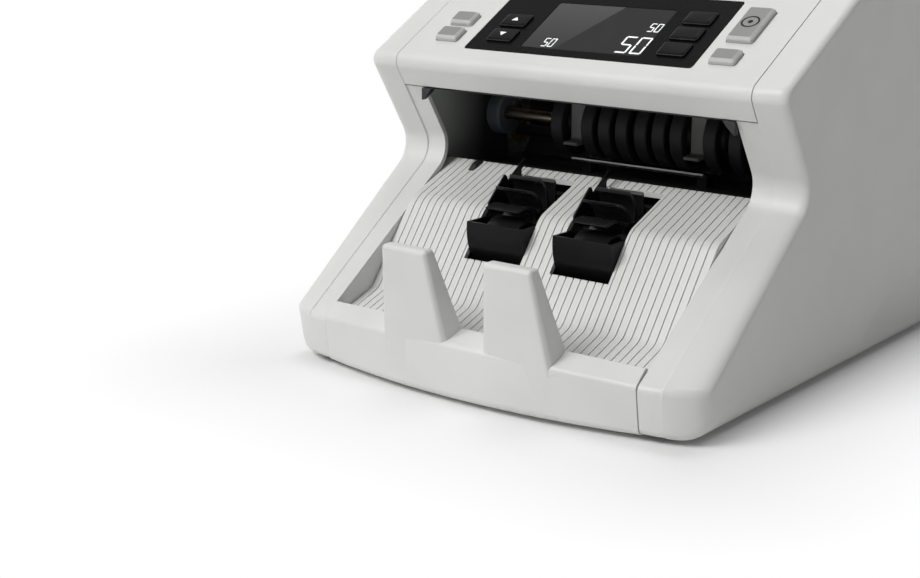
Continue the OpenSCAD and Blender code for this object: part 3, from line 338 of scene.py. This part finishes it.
def add_object(name, data):
    obj = bpy.data.objects.new(name, data)
    bpy.context.scene.collection.objects.link(obj)
    return obj


def skin(node):
    """A welded copy of a CAD node that shades smoothly over its arcs and stands for the node."""
    bm = bmesh.new()
    bm.from_mesh(nodes[node].data)
    bmesh.ops.remove_doubles(bm, verts=bm.verts, dist=WELD)
    bmesh.ops.dissolve_degenerate(bm, edges=bm.edges, dist=SLIVER)
    bm.verts.index_update()
    verts = [v.co[:] for v in bm.verts]
    faces = [[v.index for v in f.verts] for f in bm.faces]
    bm.free()
    mesh = bpy.data.meshes.new(node + "_skin")
    mesh.from_pydata(verts, [], faces)
    mesh.polygons.foreach_set("use_smooth", [True] * len(faces))
    mesh.set_sharp_from_angle(angle=SHARP)
    mesh.materials.append(look(node))
    obj = add_object(node + "_skin", mesh)
    normals = obj.modifiers.new("normals", "WEIGHTED_NORMAL")
    normals.keep_sharp = True
    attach(obj, body_of[node])
    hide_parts(node)


for name, obj in nodes.items():
    obj.data.materials.clear()
    obj.data.materials.append(look(name))
for name in sorted(nodes):
    skin(name)


# Pieces drawn on the control panel: x across, s up the slope and out from it, in millimetres
def on_panel(x, s, out):
    return (PANEL_FOOT + Vector((x, 0, 0)) + UP_SLOPE * s + OUT * out) * MM


def mesh_object(name, verts, faces, material, body):
    mesh = bpy.data.meshes.new(name)
    mesh.from_pydata([tuple(v) for v in verts], [], faces)
    mesh.update()
    mesh.materials.append(material)
    obj = add_object(name, mesh)
    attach(obj, body)
    return obj


def flat_shapes(name, outlines, low, high, material, body, slot):
    """Thin slabs on the panel plane from outlines in (x, s)."""
    verts = []
    faces = []
    for outline in outlines:
        first = len(verts)
        n = len(outline)
        for out in (low, high):
            verts += [on_panel(x, s, out) for x, s in outline]
        faces.append([first + i for i in range(n - 1, -1, -1)])
        faces.append([first + n + i for i in range(n)])
        for i in range(n):
            j = (i + 1) % n
            faces.append([first + i, first + j, first + n + j, first + n + i])
    mesh_object(name, verts, faces, material, body)


def counter_clockwise(outline):
    turn = 0.0
    for (x0, y0), (x1, y1) in zip(outline, outline[1:] + outline[:1]):
        turn += x0 * y1 - x1 * y0
    return outline if turn > 0 else outline[::-1]


# Seven-segment digits: which bars are lit, and the cuts of the bars as shares of their width
LIT_BARS = {"0": "abcdef", "5": "acdfg"}
BAR_GAP = 0.12
BAR_TIP = 0.3
BAR_INNER = 0.6
BAR_OUTER = 0.15
DIGIT_LEAN = 0.02


def digit_bars(w, h, t):
    """Outlines of the seven bars of a digit of width w and height h, with bars t wide."""
    mid = h / 2
    gap = t * BAR_GAP
    tip = t * BAR_TIP + gap
    edge = t + gap
    half = t / 2
    inner = t * BAR_INNER + gap
    outer = t * BAR_OUTER + gap
    return {
        "a": [(tip, h), (w - tip, h), (w - edge, h - t), (edge, h - t)],
        "b": [(w, h - tip), (w, mid + outer), (w - t, mid + inner), (w - t, h - edge)],
        "c": [(w, mid - outer), (w, tip), (w - t, edge), (w - t, mid - inner)],
        "d": [(edge, t), (w - edge, t), (w - tip, 0), (tip, 0)],
        "e": [(0, mid - outer), (t, mid - inner), (t, edge), (0, tip)],
        "f": [(0, h - tip), (t, h - edge), (t, mid + inner), (0, mid + outer)],
        "g": [(edge, mid + half), (w - edge, mid + half), (w - half - gap, mid),
              (w - edge, mid - half), (edge, mid - half), (half + gap, mid)],
    }


def seven_segment(text, x0, s0, w, h, t, space):
    """Outlines of slanted digits, from the lower left corner of the first."""
    bars = digit_bars(w, h, t)
    outlines = []
    for n, digit in enumerate(text):
        left = x0 + n * (w + space)
        for letter in LIT_BARS[digit]:
            bar = [(left + x + y * DIGIT_LEAN, s0 + y) for x, y in bars[letter]]
            outlines.append(counter_clockwise(bar))
    return outlines


def circle(x, s, r, n=40):
    turns = [2 * math.pi * i / n for i in range(n)]
    return [(x + r * math.cos(a), s + r * math.sin(a)) for a in turns]


def ring_shape(name, x, s, inner, outer, low, high, material, body, slot, n=40):
    """A flat ring on the panel plane."""
    verts = []
    faces = []
    for r, out in ((outer, low), (outer, high), (inner, high), (inner, low)):
        verts += [on_panel(px, ps, out) for px, ps in circle(x, s, r, n)]
    for k in range(4):
        a = k * n
        b = (k + 1) % 4 * n
        faces += [[a + i, a + (i + 1) % n, b + (i + 1) % n, b + i] for i in range(n)]
    mesh_object(name, verts, faces, material, body)


# Readings on the display: text, left, foot, width, height, bar width and space between digits
READINGS = (
    ("50", 20.3, 7.6, 6.7, 14.2, 0.85, 1.9),
    ("50", 28.4, 27.0, 3.0, 7.2, 0.45, 0.9),
    ("50", -24.4, 7.6, 3.0, 7.2, 0.45, 0.9),
)
DIGITS_LOW = -0.2
DIGITS_HIGH = 0.04
readings = [bar for reading in READINGS for bar in seven_segment(*reading)]
flat_shapes("display_digits", readings, DIGITS_LOW, DIGITS_HIGH, GLOWING_WHITE, "housing", "window")

# Signs on the keys: where they stand, their sizes, and the heights between which the ink lies
START_AT = (82.4, 37.3)
START_RING = (3.8, 4.8)
START_DOT = 1.35
GREY_INK = (2.98, 3.04)
ARROW_X = -51.4
ARROW_HALF = 2.0
ARROW_FOOT = 1.3
ARROW_TIP = 1.6
BLACK_INK = (1.78, 1.84)
ring_shape("start_ring", *START_AT, *START_RING, *GREY_INK, KEY_INK, "key_start_body", "key_grey")
flat_shapes("start_dot", [circle(*START_AT, START_DOT)], *GREY_INK, KEY_INK, "key_start_body",
            "key_grey")
for key, s, up in (("key_up", 26.8, 1), ("key_down", 13.2, -1)):
    foot = s - ARROW_FOOT * up
    arrow = [(ARROW_X - ARROW_HALF, foot), (ARROW_X + ARROW_HALF, foot), (ARROW_X, s + ARROW_TIP * up)]
    # The printed arrows take the glowing white: painted light
    flat_shapes(key + "_arrow", [counter_clockwise(arrow)], *BLACK_INK, GLOWING_WHITE, key + "_body",
                "key_black")

# Small pieces in the bay, in millimetres
ABOVE_ALL = 300
deck = nodes["stacker_deck"].data
deck_tree = BVHTree.FromPolygons([v.co for v in deck.vertices], [p.vertices for p in deck.polygons])


def deck_top(x, y):
    """Height of the deck at a place."""
    return deck_tree.ray_cast(Vector((x, y, ABOVE_ALL)) * MM, Vector((0, 0, -1)))[0].z / MM


def strip(name, rings, slot):
    """A closed skin over like rings of points, with both ends capped."""
    k = len(rings[0])
    last = (len(rings) - 1) * k
    verts = [Vector(v) * MM for ring in rings for v in ring]
    faces = [list(range(k - 1, -1, -1)), [last + j for j in range(k)]]
    for a in range(0, last, k):
        b = a + k
        faces += [[a + j, a + (j + 1) % k, b + (j + 1) % k, b + j] for j in range(k)]
    obj = mesh_object(name, verts, faces, MATS[slot], "housing")
    bm = bmesh.new()
    bm.from_mesh(obj.data)
    bmesh.ops.recalc_face_normals(bm, faces=bm.faces)
    bm.to_mesh(obj.data)
    bm.free()


CLIP_X = -77.0
CLIP_ENDS = (-37.0, -26.5)
CLIP_W = 4.5
CLIP_H = 2.4
CLIP_SINK = 0.3
CLIP_STEPS = 12
CLIP_STEEPNESS = 3.2


def deck_clip(name):
    """A low black clip along the deck with slanted ends."""
    rings = []
    for i in range(CLIP_STEPS + 1):
        y = CLIP_ENDS[0] + (CLIP_ENDS[1] - CLIP_ENDS[0]) * i / CLIP_STEPS
        rise = min(1.0, CLIP_STEEPNESS * min(i, CLIP_STEPS - i) / CLIP_STEPS)
        h = CLIP_H * (0.25 + 0.75 * rise)
        w = CLIP_W * (0.4 + 0.1 * rise)
        z = deck_top(CLIP_X, y)
        section = ((-w, -CLIP_SINK), (w, -CLIP_SINK), (w, h * 0.6), (w * 0.7, h), (-w * 0.7, h),
                   (-w, h * 0.6))
        rings.append([(CLIP_X + dx, y, z + dz) for dx, dz in section])
    strip(name, rings, "inner_dark")


# The lip's back edge: its foot in (y, z), its rise per millimetre of y, and its distance from the middle
LIP_FOOT = (-131.9, 26.4)
LIP_RISE = 0.703
LIP_X = 95.05
SKIRT_FROM = -126.0
SKIRT_L = 50.0
SKIRT_T = 1.2
SKIRT_SINK = 0.4
SKIRT_LEAST = 0.5
SKIRT_STEPS = 44


def lip_skirt(name, side):
    """Wall that closes the gap between the lip's back edge and the deck."""
    rings = []
    for i in range(SKIRT_STEPS + 1):
        y = SKIRT_FROM + SKIRT_L * i / SKIRT_STEPS
        high = LIP_FOOT[1] + LIP_RISE * (y - LIP_FOOT[0])
        low = min(deck_top(side * (LIP_X + 0.5), y) - SKIRT_SINK, high - SKIRT_LEAST)
        section = ((LIP_X, low), (LIP_X + SKIRT_T, low), (LIP_X + SKIRT_T, high), (LIP_X, high))
        rings.append([(side * x, y, z) for x, z in section])
    strip(name, rings, "housing")


# Outline of a corner web in (x, z), and its places along y
WEB_OUTLINE = ((94.9, 136.9), (88.4, 136.9), (90.6, 134.2), (94.9, 130.4))
WEB_PLACES = (-56.5, -55.3, -54.1, -52.9)


def corner_web(name, side):
    """Small dark web in the upper corner of the opening."""
    strip(name, [[(side * x, y, z) for x, z in WEB_OUTLINE] for y in WEB_PLACES], "inner_dark")


deck_clip("deck_clip")
for word, side in (("left", -1), ("right", 1)):
    lip_skirt("lip_skirt_" + word, side)
    corner_web("corner_web_" + word, side)


def aimed(place, target):
    """Rotation that turns a camera or lamp at a place towards a target."""
    return (Vector(target) - Vector(place)).to_track_quat("-Z", "Y").to_euler()


# Camera, fitted to the straight edges of the photograph, in metres
CAMERA_AT = (0.4737, -0.7467, 0.2604)
CAMERA_AIM = (0.0, -0.1440, 0.0588)
CAMERA_LENS = 65.35
CAMERA_SENSOR = 36.0
camera_data = bpy.data.cameras.new("camera")
camera_data.sensor_fit = "HORIZONTAL"
camera_data.sensor_width = CAMERA_SENSOR
camera_data.lens = CAMERA_LENS
camera_data.clip_end = 50.0
camera = add_object("camera", camera_data)
camera.location = CAMERA_AT
camera.rotation_euler = aimed(CAMERA_AT, CAMERA_AIM)
bpy.context.scene.camera = camera

# Stage and light, in metres: the shadow is kept near the foot of the object
FLOOR_HALF = 9.0
FOOT_CENTRE = (0.0, 0.005, 0.0)
FOOT_HALF = (0.118, 0.144, 0.0)
SHADOW_REACH = 0.11
SHADOW_KEPT = 0.96
SHADOW_CURVE = 0.6
AMBIENT = 0.14
# Lamps: name, place, target, size and watts
LAMPS = (
    ("key", (-0.7, -1.8, 1.9), (0, -0.05, 0.1), 1.5, 46),
    ("top", (-0.35, 0.6, 2.35), (0, 0, 0.1), 1.3, 13),
)


def math_node(tree, operation, first, second):
    node = tree.nodes.new("ShaderNodeMath")
    node.operation = operation
    node.use_clamp = True
    feed(tree, first, node.inputs[0])
    feed(tree, second, node.inputs[1])
    return node.outputs[0]


def vector_node(tree, operation, first, second=None):
    node = tree.nodes.new("ShaderNodeVectorMath")
    node.operation = operation
    feed(tree, first, node.inputs[0])
    if second is not None:
        feed(tree, second, node.inputs[1])
    return node.outputs["Value" if operation == "LENGTH" else "Vector"]


def seen_rays(tree):
    """1 for rays that show the background to the eye, directly or in gloss and glass."""
    path = tree.nodes.new("ShaderNodeLightPath")
    gloss = math_node(tree, "ADD", path.outputs["Is Glossy Ray"], path.outputs["Is Transmission Ray"])
    return math_node(tree, "ADD", path.outputs["Is Camera Ray"], gloss)


def mix_shaders(tree, share, first, second, out):
    node = tree.nodes.new("ShaderNodeMixShader")
    link(tree, share, node.inputs[0])
    link(tree, first.outputs[0], node.inputs[1])
    link(tree, second.outputs[0], node.inputs[2])
    link(tree, node.outputs[0], out.inputs[0])


def floor_material():
    """Pale floor that keeps the shadow near the object and runs out to white further away."""
    material, tree, shader = new_tree("floor")
    coords = object_coords(tree)
    tone = mix(tree, spread(tree, noise(tree, coords, 3.0)), grey(0.90), grey(0.92))
    link(tree, tone, shader.inputs["Base Color"])
    shader.inputs["Roughness"].default_value = 0.8
    shader.inputs["Specular IOR Level"].default_value = 0.1
    side = vector_node(tree, "ABSOLUTE", vector_node(tree, "SUBTRACT", coords, FOOT_CENTRE))
    past = vector_node(tree, "SUBTRACT", side, FOOT_HALF)
    apart = vector_node(tree, "LENGTH", vector_node(tree, "MAXIMUM", past, (0.0, 0.0, 0.0)))
    near = math_node(tree, "DIVIDE", apart, SHADOW_REACH)
    curve = math_node(tree, "POWER", near, SHADOW_CURVE)
    fade = ramp(tree, curve, 0.0, 1.0, 1.0 - SHADOW_KEPT, 1.0)
    glow = tree.nodes.new("ShaderNodeEmission")
    glow.inputs["Color"].default_value = grey(1.0)
    out = next(node for node in tree.nodes if node.type == "OUTPUT_MATERIAL")
    mix_shaders(tree, math_node(tree, "MULTIPLY", fade, seen_rays(tree)), shader, glow, out)
    return material


def add_floor():
    mesh = bpy.data.meshes.new("floor")
    corners = [(x * FLOOR_HALF, y * FLOOR_HALF, 0) for x, y in ((-1, -1), (1, -1), (1, 1), (-1, 1))]
    mesh.from_pydata(corners, [], [(0, 1, 2, 3)])
    mesh.materials.append(floor_material())
    add_object("floor", mesh)


def background(tree, strength):
    node = tree.nodes.new("ShaderNodeBackground")
    node.inputs["Color"].default_value = grey(1.0)
    node.inputs["Strength"].default_value = strength
    return node


def add_world():
    """Soft light from all around; the eye sees plain white."""
    world = bpy.data.worlds.new("studio")
    bpy.context.scene.world = world
    world.use_nodes = True
    tree = world.node_tree
    tree.nodes.clear()
    out = tree.nodes.new("ShaderNodeOutputWorld")
    mix_shaders(tree, seen_rays(tree), background(tree, AMBIENT), background(tree, 1.0), out)


def add_lamp(name, place, target, size, watts):
    data = bpy.data.lights.new(name, "AREA")
    data.shape = "DISK"
    data.size = size
    data.energy = watts
    lamp = add_object(name, data)
    lamp.location = place
    lamp.rotation_euler = aimed(place, target)


add_floor()
add_world()
for lamp in LAMPS:
    add_lamp(*lamp)
bpy.context.scene.view_settings.view_transform = "Standard"
